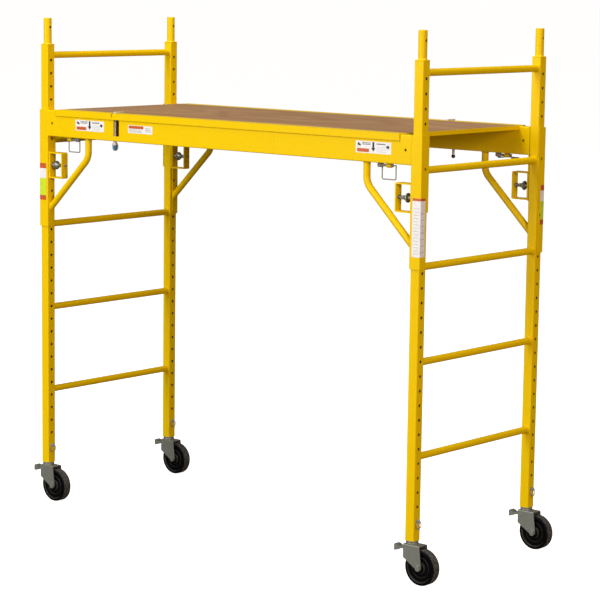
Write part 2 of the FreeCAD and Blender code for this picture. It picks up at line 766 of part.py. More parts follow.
def latch_rod(has_barrel):
    """The upright rod of the back latch. Its flat finger lies over the platform and holds it down."""
    upright_foot = Vector(latch_x, latch_y, latch_foot_z)
    finger_foot = platform_top + latch_finger_gap
    upright = rod(upright_foot, Z, finger_foot + latch_finger_thickness - latch_foot_z, latch_radius)
    tip = latch_y - latch_finger_length
    near, far = latch_x - latch_finger_half_width, latch_x + latch_finger_half_width
    finger_top = finger_foot + latch_finger_thickness
    corner = latch_finger_half_width - 0.1
    pieces = [rounded_bar(near, far, tip, latch_y, finger_foot, finger_top, corner)]
    if has_barrel:
        barrel_foot = Vector(latch_x, latch_y, latch_barrel_foot)
        barrel = rod(barrel_foot, Z, latch_barrel_top - latch_barrel_foot, latch_barrel_radius)
        pieces.append(barrel.makeFillet(1, barrel.Edges))
    return upright.fuse(pieces).removeSplitter()


def latch_tip():
    """A dipped tip over the front latch rod's end, under its barrel."""
    tip = rod(Vector(latch_x, latch_y, tip_foot), Z, latch_barrel_foot - tip_foot, tip_radius)
    foot = [e for e in tip.Edges if len(e.Vertexes) == 1 and e.BoundBox.ZMax < latch_foot_z]
    return on_latch_rod(tip.makeFillet(tip_radius * 0.6, foot))


def latch_ball():
    """A ball knob on the back latch rod's end."""
    return on_latch_rod(Part.makeSphere(ball_radius, Vector(latch_x, latch_y, ball_z)))


def on_latch_rod(grip):
    return grip.cut(rod(Vector(latch_x, latch_y, latch_foot_z), Z, rail_height, latch_radius))


def latch_disc():
    """A round thumb plate on the front latch's barrel, upright and beside the rod."""
    place = Vector(latch_x + disc_offset, latch_y - disc_thickness - latch_barrel_radius, disc_z)
    disc = rod(place, Y, disc_thickness, disc_radius)
    return disc.makeFillet(0.8, disc.Edges)


def rail_label(x, size):
    width, height = size
    near, far = x - width / 2, x + width / 2
    low, high = rail_label_z - height / 2, rail_label_z + height / 2
    return box(near, far, rail_outer, rail_outer + label_thickness, low, high)


def sleeve_label(low, high, front_width, side_width):
    """A label round the sleeve's outer corner, away from the platform."""
    outer = sleeve_outer + label_thickness
    corner = sleeve_corner + label_thickness
    skin = rounded_bar(-outer, outer, -leg_size, outer, low, high, corner)
    core = rounded_bar(-sleeve_outer, sleeve_outer, -leg_size, sleeve_outer, low, high, sleeve_corner)
    room = box(-outer - 1, front_width - sleeve_outer, sleeve_outer - side_width, outer + 1, low, high)
    return skin.cut(core).common(room)


def corners():
    return [(s, SIDES[s], d, DEPTHS[d]) for s in SIDES for d in DEPTHS]


def at_all_corners(shape):
    return [at_corner(shape, side, depth) for _, side, _, depth in corners()]


def at_all_casters(shape):
    return [at_caster(shape, side, depth) for _, side, _, depth in corners()]


def save(node, *solids):
    """Writes one node, moved so that the origin is at the middle of the footprint."""
    moved = []
    for solid in solids:
        for piece in solid.Solids:
            copy = piece.copy()
            copy.translate(Vector(frame_middle_x, 0, 0))
            moved.append(copy)
    shape = moved[0] if len(moved) == 1 else Part.makeCompound(moved)
    shape.exportStep("parts/" + node + ".step")
    print(node, len(moved), "valid" if shape.isValid() else "NOT VALID", round(shape.Volume))


def save_end_frames():
    one_leg = leg()
    for side_name, side, depth_name, depth in corners():
        save("leg_" + side_name + "_" + depth_name, at_corner(one_leg, side, depth))
    for side_name, side in SIDES.items():
        rungs = []
        for level in range(rung_count):
            placed = rung(level)
            placed.translate(X * side * half_length)
            rungs.append(placed)
        save("rungs_" + side_name, *rungs)
    save("coupling_stubs", *at_all_corners(coupling_stub()))
    save("caster_stems", *at_all_casters(caster_stem()))
    save("caster_lock_pins", *at_all_casters(lock_pin()))


def save_casters():
    pieces = {"lock_pin_ring": lock_pin_ring(), "fork": fork(), "axle": axle()}
    pieces.update({"wheel": wheel(), "brake_pedal": brake_pedal()})
    for side_name, side, depth_name, depth in corners():
        for name, shape in pieces.items():
            save(name + "_" + side_name + "_" + depth_name, at_caster(shape, side, depth))


def save_platform():
    for side_name, side, depth_name, depth in corners():
        save("sleeve_" + side_name + "_" + depth_name, at_corner(sleeve(), side, depth))
    for depth_name, depth in DEPTHS.items():
        save("side_rail_" + depth_name, at_rail(rail(), depth))
        save("braces_" + depth_name, *[at_corner(brace(), side, depth) for side in SIDES.values()])
    holes = screw_holes()
    edges = [at_rail(platform_edge_side(), depth) for depth in DEPTHS.values()]
    edges += [platform_edge_end(side) for side in SIDES.values()]
    save("platform_edge", *[edge.cut(holes) for edge in edges])
    save("platform_board", board().cut(holes))
    save("platform_joists", *[joist(x) for x in joist_places])
    save("platform_screws", *[screw(x, y, 0) for x, y in screw_places()])
    save("pin_brackets", *at_all_corners(pin_bracket()))
    save("pin_springs", *at_all_corners(pin_spring()))
    save("store_tubes", *at_all_corners(store_tube()))
    snappers = []
    for side_name, side, depth_name, depth in corners():
        snappers.append(at_corner(turned_in_tube(snapper_pin(), side_name, depth_name), side, depth))
    save("snapper_pins", *snappers)


def save_pins_and_latches():
    for side_name, side, depth_name, depth in corners():
        save("spring_pin_" + side_name + "_" + depth_name, at_corner(spring_pin(), side, depth))
        hung = turned_in_tube(bail(), side_name, depth_name)
        save("bail_" + side_name + "_" + depth_name, at_corner(hung, side, depth))
    for depth_name, grip in (("front", latch_tip()), ("back", latch_ball())):
        depth = DEPTHS[depth_name]
        save("latch_rod_" + depth_name, at_rail(latch_rod(depth_name == "front"), depth))
        save("latch_grip_" + depth_name, at_rail(grip, depth))
    save("latch_disc_front", at_rail(latch_disc(), DEPTHS["front"]))


def save_labels():
    labels = []
    for x, size in rail_labels:
        labels += [at_rail(rail_label(-x, size), depth) for depth in DEPTHS.values()]
    for side in SIDES.values():
        labels.append(at_corner(sleeve_label(*tall_label), side, -side))
        labels.append(at_corner(sleeve_label(*short_label), side, side))
    save("labels", *labels)


os.makedirs("parts", exist_ok=True)
save_end_frames()
save_casters()
save_platform()
save_pins_and_latches()
save_labels()
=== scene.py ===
import json
import math

import bmesh
import bpy
from mathutils import Matrix, Vector


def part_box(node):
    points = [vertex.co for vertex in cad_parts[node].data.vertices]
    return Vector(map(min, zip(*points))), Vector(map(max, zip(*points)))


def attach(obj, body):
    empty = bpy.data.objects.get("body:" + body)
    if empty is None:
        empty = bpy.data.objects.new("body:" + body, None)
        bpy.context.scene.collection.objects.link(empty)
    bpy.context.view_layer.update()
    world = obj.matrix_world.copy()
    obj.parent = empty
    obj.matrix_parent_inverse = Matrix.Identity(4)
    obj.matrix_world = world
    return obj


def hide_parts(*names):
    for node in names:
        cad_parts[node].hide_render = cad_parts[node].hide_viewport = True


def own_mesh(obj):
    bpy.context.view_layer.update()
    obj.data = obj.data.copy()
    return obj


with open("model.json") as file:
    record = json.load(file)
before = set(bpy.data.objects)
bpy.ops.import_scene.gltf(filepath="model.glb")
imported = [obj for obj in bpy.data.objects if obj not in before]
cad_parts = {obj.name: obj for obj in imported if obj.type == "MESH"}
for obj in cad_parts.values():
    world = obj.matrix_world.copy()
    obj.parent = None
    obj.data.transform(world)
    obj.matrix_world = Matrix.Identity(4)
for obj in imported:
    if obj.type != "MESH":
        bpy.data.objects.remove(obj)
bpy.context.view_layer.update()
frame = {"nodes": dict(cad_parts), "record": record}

# A baker scaffold: yellow painted steel, zinc-plated casters and pins, black wheels and a plywood platform.
# Metres, in the frame's own axes: +X along the platform, -Y its front, +Z up.

SIDES = {"left": -1, "right": 1}
DEPTHS = {"front": -1, "back": 1}
X, Y, Z = Vector((1, 0, 0)), Vector((0, 1, 0)), Vector((0, 0, 1))

BEAD_RADIUS = 0.0024
BEAD_STEP = 0.0012
BEAD_RIPPLE = 0.0034
SEAM_RADIUS = 0.0018
COLLAR_BEAD_RADIUS = 0.0014
SEAM_DEPTH = 0.0009
SEAM_END = 0.005
STORE_SEAM_OFFSET = 0.004
STORE_SEAM_DEPTH = 0.0006
WIRE_RADIUS = 0.0008
COIL_TURNS = 5.5
SAMPLES_PER_TURN = 28
END_CLOSING = 0.55
PRINT_HEIGHT = 0.00012
FLAME_RINGS = 22.0
FLOOR_REACH = 400.0
FLOOR_GLOW = 0.88
AMBIENT = 0.15


# ---------------------------------------------------------------- places read from the frame


def node(name):
    return frame["nodes"][name]


def corners():
    return [(s, SIDES[s], d, DEPTHS[d]) for s in SIDES for d in DEPTHS]


def islands(name):
    """The lowest and highest corner of each separate solid in a CAD node."""
    mesh = bmesh.new()
    mesh.from_mesh(node(name).data)
    bmesh.ops.remove_doubles(mesh, verts=mesh.verts, dist=1e-6)
    left = set(mesh.verts)
    boxes = []
    while left:
        group = [left.pop()]
        for vertex in group:
            for edge in vertex.link_edges:
                other = edge.other_vert(vertex)
                if other in left:
                    left.remove(other)
                    group.append(other)
        low = Vector([min(v.co[i] for v in group) for i in range(3)])
        high = Vector([max(v.co[i] for v in group) for i in range(3)])
        boxes.append((low, high))
    mesh.free()
    return sorted(boxes, key=lambda box: tuple(round(v, 4) for v in box[0]))


def outline(name, axis, value, low=None, high=None):
    """The outer loop of a CAD node's vertices that lie on the plane axis = value, inside a region."""
    points = []
    for vertex in node(name).data.vertices:
        point = vertex.co
        inside = low is None or all(low[i] <= point[i] <= high[i] for i in range(3))
        if inside and abs(point[axis] - value) < 1e-5:
            points.append(point.copy())
    middle = sum(points, Vector()) / len(points)
    u, v = [i for i in range(3) if i != axis]
    reach = {}
    for point in points:
        offset = point - middle
        turn = round(math.atan2(offset[v], offset[u]), 2)
        if turn not in reach or offset.length > reach[turn].length:
            reach[turn] = offset
    widest = max(offset.length for offset in reach.values())
    kept = [reach[turn] for turn in sorted(reach) if reach[turn].length > 0.8 * widest]
    return [middle + offset for offset in kept]


# ---------------------------------------------------------------- materials


class Paint:
    """One material, with short words for adding its nodes."""

    def __init__(self, name):
        self.material = bpy.data.materials.new(name)
        self.material.use_nodes = True
        self.tree = self.material.node_tree
        self.shader = self.tree.nodes["Principled BSDF"]
        self.place = self.add("ShaderNodeTexCoord").outputs["Object"]

    def add(self, kind, settings=None, **inputs):
        made = self.tree.nodes.new(kind)
        for key, value in (settings or {}).items():
            setattr(made, key, value)
        for key, value in inputs.items():
            self.feed(made.inputs[key.replace("_", " ")], value)
        return made

    def feed(self, socket, value):
        if isinstance(value, bpy.types.NodeSocket):
            self.tree.links.new(value, socket)
        else:
            socket.default_value = value

    def set(self, **inputs):
        for key, value in inputs.items():
            self.feed(self.shader.inputs[key.replace("_", " ")], value)
        return self

    def scaled(self, x, y, z):
        return self.add("ShaderNodeMapping", Vector=self.place, Scale=(x, y, z)).outputs["Vector"]

    def noise(self, scale, detail=3.0, roughness=0.5, place=None, distortion=0.0):
        made = self.add(
            "ShaderNodeTexNoise", Vector=place or self.place, Scale=scale, Detail=detail,
            Roughness=roughness, Distortion=distortion,
        )
        return made.outputs["Fac"]

    def ramp(self, value, *stops):
        """A colour ramp through stops of (position, grey or colour)."""
        made = self.add("ShaderNodeValToRGB", Fac=value)
        elements = made.color_ramp.elements
        while len(elements) < len(stops):
            elements.new(1.0)
        for element, (position, colour) in zip(elements, stops):
            element.position = position
            rgb = (colour,) * 3 if isinstance(colour, (int, float)) else colour
            element.color = (*rgb, 1.0)
        return made.outputs["Color"]

    def math(self, operation, a, b=0.5, clamp=False):
        made = self.add("ShaderNodeMath", {"operation": operation, "use_clamp": clamp})
        self.feed(made.inputs[0], a)
        self.feed(made.inputs[1], b)
        return made.outputs[0]

    def mix(self, factor, a, b, blend="MIX"):
        made = self.add("ShaderNodeMix", {"data_type": "RGBA", "blend_type": blend})
        for key, value in ((0, factor), (6, a), (7, b)):
            if isinstance(value, tuple) and len(value) == 3:
                value = (*value, 1.0)
            self.feed(made.inputs[key], value)
        return made.outputs[2]

    def bump(self, height, distance, strength=1.0, normal=None):
        made = self.add("ShaderNodeBump", Height=height, Distance=distance, Strength=strength)
        if normal is not None:
            self.feed(made.inputs["Normal"], normal)
        return made.outputs["Normal"]

    def edges(self, radius):
        """1 along sharp edges, fading to 0 at radius from them."""
        soft = self.add("ShaderNodeBevel", {"samples": 4}, Radius=radius).outputs["Normal"]
        hard = self.add("ShaderNodeNewGeometry").outputs["Normal"]
        dot = self.add("ShaderNodeVectorMath", {"operation": "DOT_PRODUCT"})
        self.feed(dot.inputs[0], soft)
        self.feed(dot.inputs[1], hard)
        return self.math("MULTIPLY", self.math("SUBTRACT", 1.0, dot.outputs["Value"]), 6.0, clamp=True)

    def painted_hollow_shade(self, reach):
        """1 deep inside holes and narrow gaps, where no light comes, fading out of them: the mask for painted
        shade.
        """
        shade = self.add("ShaderNodeAmbientOcclusion", {"samples": 6}, Distance=reach).outputs["AO"]
        return self.ramp(shade, (0.08, 1.0), (0.34, 0.0))


def yellow_paint(name, shade_reach):
    """Powder coat: faint mottling and orange peel, rub marks along the tubes, chips on the edges, and painted
    shade, dark red-brown, deep in holes and narrow gaps.
    """
    paint = Paint(name)
    base = paint.mix(paint.noise(2.6, 4.0), (0.87, 0.575, 0.0), (0.84, 0.59, 0.0))
    speck = paint.ramp(paint.noise(210.0, 2.0), (0.42, 0.0), (0.75, 0.3))
    base = paint.mix(speck, base, (0.82, 0.47, 0.001))
    rub = paint.ramp(paint.noise(1.0, 5.0, 0.62, paint.scaled(150.0, 150.0, 9.0)), (0.60, 0.0), (0.68, 1.0))
    rubbed = paint.math("MULTIPLY", rub, paint.ramp(paint.noise(4.5, 2.0), (0.5, 0.0), (0.62, 1.0)))
    base = paint.mix(paint.math("MULTIPLY", rubbed, 0.30), base, (0.66, 0.35, 0.01))
    chip = paint.ramp(paint.noise(170.0, 5.0, 0.6), (0.57, 0.0), (0.60, 1.0))
    bare = paint.math("MULTIPLY", paint.edges(0.0022), chip)
    bare = paint.math("MULTIPLY", bare, paint.ramp(paint.noise(7.0, 1.0), (0.50, 0.0), (0.58, 1.0)))
    base = paint.mix(bare, base, (0.16, 0.145, 0.13))
    # Painted shade: dark red-brown mixed in where ambient occlusion finds holes, narrow gaps and inner
    # corners, such as the groove under the lips.
    base = paint.mix(paint.painted_hollow_shade(shade_reach), base, (0.10, 0.012, 0.0))
    gloss = paint.ramp(paint.noise(40.0, 4.0), (0.3, 0.30), (0.7, 0.42))
    gloss = paint.mix(rubbed, gloss, (0.55, 0.55, 0.55))
    gloss = paint.mix(bare, gloss, (0.62, 0.62, 0.62))
    peel = paint.bump(paint.noise(420.0, 2.0, 0.4), 0.0001, 0.35)
    depth = paint.bump(paint.math("SUBTRACT", 1.0, bare), 0.00012, 0.6, peel)
    paint.set(Base_Color=base, Roughness=gloss, Normal=depth, IOR=1.5, Specular_IOR_Level=0.12)
    return paint.material


def zinc(name, dark, light, dull_colour, metallic):
    """Zinc plating: a faint cloud, fine drag lines, duller patches, and a painted highlight lightening the
    edges.
    """
    paint = Paint(name)
    base = paint.mix(paint.noise(46.0, 4.0), dark, light)
    dull = paint.ramp(paint.noise(22.0, 5.0, 0.6), (0.50, 0.0), (0.72, 1.0))
    base = paint.mix(paint.math("MULTIPLY", dull, 0.5), base, dull_colour)
    drag = paint.noise(1.0, 4.0, 0.6, paint.scaled(60.0, 900.0, 900.0))
    gloss = paint.mix(dull, paint.ramp(drag, (0.3, 0.32), (0.7, 0.44)), (0.55, 0.55, 0.55))
    # Painted highlight: the edges are mixed towards pale grey, as if they caught the light.
    base = paint.mix(paint.math("MULTIPLY", paint.edges(0.0012), 0.5), base, (0.75, 0.75, 0.72))
    paint.set(Base_Color=base, Roughness=gloss, Normal=paint.bump(drag, 0.00005, 0.4), Metallic=metallic)
    return paint.material


def wheel_black():
    """Moulded near-black polymer, scuffed grey where it rolls, with the tread also painted lighter grey as a
    stand-in for its sheen.
    """
    paint = Paint("wheel_black")
    normal = paint.add("ShaderNodeTexCoord").outputs["Normal"]
    sideways = paint.add("ShaderNodeSeparateXYZ", Vector=normal).outputs["Y"]
    tread_wear_and_sheen = paint.ramp(paint.math("ABSOLUTE", sideways), (0.25, 1.0), (0.7, 0.0))
    scuff = paint.ramp(paint.noise(95.0, 6.0, 0.65), (0.42, 0.0), (0.62, 1.0))
    base = paint.mix(paint.noise(30.0, 3.0), (0.0012, 0.0012, 0.0014), (0.0028, 0.0028, 0.003))
    # The tread's grey is partly scuff wear and partly a painted sheen, lighter than the wear alone.
    tread_scuff_and_sheen = paint.mix(scuff, (0.045, 0.045, 0.044), (0.105, 0.103, 0.097))
    base = paint.mix(tread_wear_and_sheen, base, tread_scuff_and_sheen)
    gloss = paint.mix(tread_wear_and_sheen, paint.ramp(paint.noise(60.0), (0.3, 0.36), (0.7, 0.48)), (0.58, 0.58, 0.58))
    grain = paint.bump(paint.noise(800.0, 2.0), 0.00008, 0.5)
    paint.set(Base_Color=base, Roughness=gloss, Normal=grain, Specular_IOR_Level=0.05)
    return paint.material


def plywood():
    """Rotary-cut face veneer: long flame figure along X, fine fibre, darker pores, faint marks and knots."""
    paint = Paint("plywood_face")
    warp = paint.noise(1.0, 3.0, 0.55, paint.scaled(0.9, 5.0, 1.0))
    hills = paint.noise(1.0, 1.5, 0.4, paint.scaled(0.6, 2.4, 1.0), distortion=0.5)
    rings = paint.math("PINGPONG", paint.math("MULTIPLY", hills, FLAME_RINGS), 1.0)
    figure = paint.math("ADD", paint.math("MULTIPLY", rings, 0.45), paint.math("MULTIPLY", warp, 0.55))
    veneer = ((0.25, (0.33, 0.175, 0.075)), (0.5, (0.40, 0.225, 0.100)), (0.8, (0.46, 0.27, 0.130)))
    base = paint.ramp(figure, *veneer)
    fibre = paint.noise(1.0, 6.0, 0.6, paint.scaled(9.0, 620.0, 60.0))
    base = paint.mix(paint.ramp(fibre, (0.38, 0.45), (0.62, 0.0)), base, (0.23, 0.115, 0.058))
    pores = paint.ramp(paint.noise(1.0, 2.0, 0.5, paint.scaled(34.0, 900.0, 60.0)), (0.66, 0.0), (0.72, 1.0))
    base = paint.mix(paint.math("MULTIPLY", pores, 0.5), base, (0.11, 0.052, 0.026))
    stain = paint.ramp(paint.noise(5.0, 5.0, 0.6), (0.52, 0.0), (0.74, 1.0))
    base = paint.mix(paint.math("MULTIPLY", stain, 0.3), base, (0.26, 0.155, 0.10))
    cells = paint.add("ShaderNodeTexVoronoi", Vector=paint.scaled(1.7, 4.2, 1.0), Scale=1.0)
    knot = paint.ramp(cells.outputs["Distance"], (0.03, 1.0), (0.085, 0.0))
    base = paint.mix(paint.math("MULTIPLY", knot, 0.8), base, (0.12, 0.052, 0.022))
    gloss = paint.ramp(fibre, (0.3, 0.50), (0.7, 0.68))
    height = paint.math("SUBTRACT", fibre, paint.math("MULTIPLY", pores, 0.8))
    grain = paint.bump(height, 0.00025, 0.6)
    paint.set(Base_Color=base, Roughness=gloss, Normal=grain, Specular_IOR_Level=0.35)
    return paint.material


def vinyl(name, dark, light):
    """Dipped vinyl: a soft sheen, with faint runs down it."""
    paint = Paint(name)
    runs = paint.noise(1.0, 3.0, 0.5, paint.scaled(220.0, 220.0, 45.0))
    base = paint.mix(runs, dark, light)
    gloss = paint.ramp(paint.noise(300.0), (0.3, 0.30), (0.7, 0.45))
    paint.set(Base_Color=base, Roughness=gloss, Normal=paint.bump(runs, 0.0002, 0.5), Subsurface_Weight=0.05)
    return paint.material


def film(name, clean, soiled):
    """Printed label film, a little grubby and uneven."""
    paint = Paint(name)
    grime = paint.ramp(paint.noise(70.0, 5.0, 0.6), (0.48, 0.0), (0.78, 1.0))
    base = paint.mix(grime, clean, soiled)
    gloss = paint.ramp(paint.noise(130.0), (0.3, 0.25), (0.7, 0.42))
    paint.set(Base_Color=base, Roughness=gloss, Normal=paint.bump(paint.noise(350.0), 0.00005, 0.4))
    return paint.material


def floor_paint():
    """A pale studio floor that looks white, and throws little light back up under the platform."""
    paint = Paint("studio_floor")
    base = paint.mix(paint.noise(0.7, 3.0), (0.80, 0.80, 0.80), (0.83, 0.83, 0.825))
    seen = paint.add("ShaderNodeLightPath").outputs["Is Camera Ray"]
    paint.set(Base_Color=paint.mix(seen, (0.16, 0.13, 0.10), base), Roughness=0.85, Specular_IOR_Level=0.1)
    paint.set(Emission_Color=(1.0, 1.0, 1.0, 1.0), Emission_Strength=paint.math("MULTIPLY", seen, FLOOR_GLOW))
    return paint.material


# Two copies of the same paint that differ only in how far the painted shade reaches: the side rails' copy
# keeps it within 4 mm, so the inside of the rail's slot is painted less dark.
YELLOW = yellow_paint("yellow_powder_coat", 0.05)
RAIL_YELLOW_LESS_SHADE = yellow_paint("yellow_rail_coat_less_painted_shade", 0.004)
ZINC = zinc("zinc_plate", (0.24, 0.255, 0.225), (0.315, 0.335, 0.295), (0.20, 0.20, 0.175), 0.6)
WIRE = zinc("dull_wire", (0.24, 0.25, 0.235), (0.31, 0.32, 0.30), (0.20, 0.20, 0.185), 0.05)
STEEL = zinc("bright_steel", (0.52, 0.50, 0.48), (0.66, 0.64, 0.62), (0.42, 0.39, 0.36), 0.15)
WHEEL = wheel_black()
PLYWOOD = plywood()
BLUE = vinyl("blue_vinyl", (0.010, 0.085, 0.18), (0.035, 0.20, 0.36))
BLACK = vinyl("black_vinyl", (0.010, 0.010, 0.011), (0.022, 0.022, 0.024))
PALE_STEEL = film("pale_washer", (0.62, 0.63, 0.62), (0.48, 0.48, 0.46))
WHITE_FILM = film("white_film", (0.85, 0.86, 0.87), (0.73, 0.72, 0.70))
RED_INK = film("red_ink", (0.60, 0.11, 0.02), (0.50, 0.095, 0.025))
GREY_INK = film("grey_ink", (0.20, 0.20, 0.21), (0.30, 0.29, 0.28))
PALE_INK = film("pale_grey_ink", (0.62, 0.61, 0.62), (0.56, 0.54, 0.53))
BLACK_INK = film("black_ink", (0.012, 0.012, 0.014), (0.03, 0.03, 0.03))
GREEN_INK = film("bright_green_ink", (0.62, 0.80, 0.02), (0.50, 0.66, 0.03))

SLOT_MATERIALS = {
    "yellow_paint": YELLOW, "zinc_steel": ZINC, "black_wheel": WHEEL, "plywood": PLYWOOD,
    "blue_vinyl": BLUE, "black_vinyl": BLACK, "label_film": WHITE_FILM,
}


DULL_NODES = ("bail", "lock_pin_ring", "snapper_pins", "caster_lock_pins")


def dress_cad_nodes():
    for part in frame["record"]["subparts"]:
        mesh = node(part["node"]).data
        mesh.materials.clear()
        mesh.materials.append(SLOT_MATERIALS[part["material_slot"]])
    for name in frame["nodes"]:
        if name.startswith(DULL_NODES):
            node(name).data.materials[0] = WIRE
        # The side rails take the copy of the paint with the shorter painted shade.
        if name.startswith("side_rail"):
            node(name).data.materials[0] = RAIL_YELLOW_LESS_SHADE
        if name.startswith("latch_rod"):
            node(name).data.materials[0] = STEEL
    node("latch_disc_front").data.materials[0] = PALE_STEEL


# ---------------------------------------------------------------- mesh helpers


def make_piece(name, body, slot, materials, vertices, faces, face_materials=None, smooth=True):
    mesh = bpy.data.meshes.new(name)
    mesh.from_pydata([tuple(v) for v in vertices], [], faces)
    for material in materials:
        mesh.materials.append(material)
    for index, polygon in enumerate(mesh.polygons):
        polygon.use_smooth = smooth
        if face_materials:
            polygon.material_index = face_materials[index]
    mesh.update()
    piece = bpy.data.objects.new(name, mesh)
    bpy.context.scene.collection.objects.link(piece)
    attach(piece, body)
    return piece


def resampled(points, step, closed):
    """Points evenly spaced along a path of straight runs, and their distances along it."""
    path = points + [points[0]] if closed else points
    total = sum((b - a).length for a, b in zip(path, path[1:]))
    count = max(8, round(total / step))
    spacing = total / count
    made, ahead, walked = [], 0.0, 0.0
    for a, b in zip(path, path[1:]):
        run = (b - a).length
        while ahead < walked + run - 1e-9 and len(made) < count:
            made.append(a.lerp(b, (ahead - walked) / run))
            ahead += spacing
        walked += run
    if not closed:
        made.append(path[-1].copy())
    return made, [spacing * i for i in range(len(made))]


def sweep(points, radius_at, sides, closed):
    """A tube along points, with radius_at(index) at each one. Returns vertices and faces."""
    count = len(points)
    vertices, faces = [], []
    side = None
    for i, point in enumerate(points):
        before = points[i - 1] if closed or i > 0 else point
        after = points[(i + 1) % count] if closed or i < count - 1 else point
        along = (after - before).normalized()
        if side is None:
            side = along.orthogonal().normalized()
        side = (side - along * side.dot(along)).normalized()
        other = along.cross(side)
        for k in range(sides):
            turn = 2 * math.pi * k / sides
            vertices.append(point + (side * math.cos(turn) + other * math.sin(turn)) * radius_at(i))
    rings = count if closed else count - 1
    for i in range(rings):
        a, b = i * sides, ((i + 1) % count) * sides
        shift = closing_shift(vertices, sides) if closed and i == count - 1 else 0
        for k in range(sides):
            k2 = (k + 1) % sides
            faces.append((a + k, a + k2, b + (k2 + shift) % sides, b + (k + shift) % sides))
    if not closed:
        faces.append(tuple(range(sides))[::-1])
        faces.append(tuple(range((count - 1) * sides, count * sides)))
    return vertices, faces


def closing_shift(vertices, sides):
    """How far the first ring must turn to meet the last one without a twist."""
    last = vertices[-sides]
    return min(range(sides), key=lambda k: (vertices[k] - last).length)


def joined(parts):
    vertices, faces = [], []
    for more_vertices, more_faces in parts:
        start = len(vertices)
        vertices += more_vertices
        faces += [tuple(start + i for i in face) for face in more_faces]
    return vertices, faces


def bead(points, closed=True, radius=BEAD_RADIUS):
    """A weld bead: a low rope of overlapping ripples along a seam."""
    path, walked = resampled(points, BEAD_STEP, closed)
    ripples = [0.78 + 0.22 * abs(math.sin(math.pi * s / BEAD_RIPPLE)) for s in walked]
    return sweep(path, lambda i: radius * ripples[i], 8, closed)


# ---------------------------------------------------------------- pieces


def rung_welds():
    """A bead round each end of every rung, where it meets the leg."""
    for side in SIDES:
        name = "rungs_" + side
        beads = []
        for low, high in islands(name):
            for end in (low.y, high.y):
                region = (low - Vector((1, 1, 0.001)), high + Vector((1, 1, 0.001)))
                beads.append(bead(outline(name, 1, end, *region)))
        make_piece("rung_welds_" + side, "frame", "yellow_paint", [YELLOW], *joined(beads))


def collar_welds():
    """A bead round the top of each leg, under its spigot's collar."""
    beads = []
    for side, _, depth, _ in corners():
        leg = f"leg_{side}_{depth}"
        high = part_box(leg)[1]
        beads.append(bead(outline(leg, 2, high.z), radius=COLLAR_BEAD_RADIUS))
    make_piece("collar_welds", "frame", "yellow_paint", [YELLOW], *joined(beads))


def platform_welds():
    """Beads at the braces' ends, round the brackets' feet, on the store tubes and down the sleeves' seams."""
    beads = []
    for depth in DEPTHS:
        name = "braces_" + depth
        for low, high in islands(name):
            beads.append(bead(outline(name, 2, high.z, low, high)))
            foot = low.x if low.x < 0 else high.x
            beads.append(bead(outline(name, 0, foot, low, high)))
    for low, high in islands("pin_brackets"):
        foot = low.x if low.x < 0 else high.x
        for y in (low.y, high.y):
            beads.append(bead([Vector((foot, y, low.z)), Vector((foot, y, high.z))], closed=False))
        for z in (low.z, high.z):
            beads.append(bead([Vector((foot, low.y, z)), Vector((foot, high.y, z))], closed=False))
    for low, high in islands("store_tubes"):
        middle = (low.y + high.y) / 2
        for y in (middle - STORE_SEAM_OFFSET, middle + STORE_SEAM_OFFSET):
            seam = [Vector((x, y, high.z - STORE_SEAM_DEPTH)) for x in (low.x, high.x)]
            beads.append(bead(seam, closed=False, radius=SEAM_RADIUS))
    for side, x_sign, depth, y_sign in corners():
        low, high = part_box("side_rail_" + depth)
        seam_x = high.x if x_sign > 0 else low.x
        face = high.y if y_sign > 0 else low.y
        seam_y = face - y_sign * SEAM_DEPTH
        seam = [Vector((seam_x, seam_y, z)) for z in (low.z + SEAM_END, high.z - SEAM_END)]
        beads.append(bead(seam, closed=False, radius=SEAM_RADIUS))
    make_piece("platform_welds", "platform", "yellow_paint", [YELLOW], *joined(beads))


def coil_springs():
    """The spring round each pin, between its hub and the bracket."""
    for low, high in islands("pin_springs"):
        side = "left" if low.x < 0 else "right"
        depth = "front" if low.y < 0 else "back"
        middle = (low + high) / 2
        coil_radius = (high.z - low.z) / 2 - WIRE_RADIUS
        length = high.x - low.x - 2 * WIRE_RADIUS
        samples = round(COIL_TURNS * SAMPLES_PER_TURN)
        path = []
        for i in range(samples + 1):
            share = i / samples
            pitch = share - math.sin(2 * math.pi * share) / (2 * math.pi) * END_CLOSING
            turn = 2 * math.pi * COIL_TURNS * share
            start = Vector((low.x + WIRE_RADIUS + length * pitch, middle.y, middle.z))
            path.append(start + (Y * math.cos(turn) + Z * math.sin(turn)) * coil_radius)
        piece = make_piece(
            f"coil_spring_{side}_{depth}", "platform", "zinc_steel", [ZINC],
            *sweep(path, lambda i: WIRE_RADIUS, 8, closed=False),
        )
        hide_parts("pin_springs")
        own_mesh(piece)


# Prints on the labels, as shares of a label's width and height: (ink, left, bottom, right, top).
LARGE_PRINT = (
    [("red", 0.04, 0.08, 0.38, 0.38)]
    + [("grey", 0.18, 0.70 + 0.12 * i, 0.42, 0.77 + 0.12 * i) for i in range(2)]
    + [("grey", 0.59, 0.76, 0.84, 0.86)]
    + [("pale", 0.59, 0.14 + 0.13 * i, 0.88, 0.18 + 0.13 * i) for i in range(4)]
)
SMALL_PRINT = (
    [("red", 0.03, 0.58, 0.64, 0.94)]
    + [("grey", 0.04, 0.14 + 0.14 * i, 0.56, 0.18 + 0.14 * i) for i in range(3)]
    + [("grey", 0.70, 0.28 + 0.20 * i, 0.94, 0.33 + 0.20 * i) for i in range(3)]
)
TALL_PRINT = (
    [("red", 0.0, 0.955, 1.0, 1.0)]
    + [("pale", 0.10, 0.05 + 0.055 * i, 0.46, 0.062 + 0.055 * i) for i in range(15)]
    + [("pale", 0.62, 0.08 + 0.11 * i, 0.92, 0.095 + 0.11 * i) for i in range(7)]
)
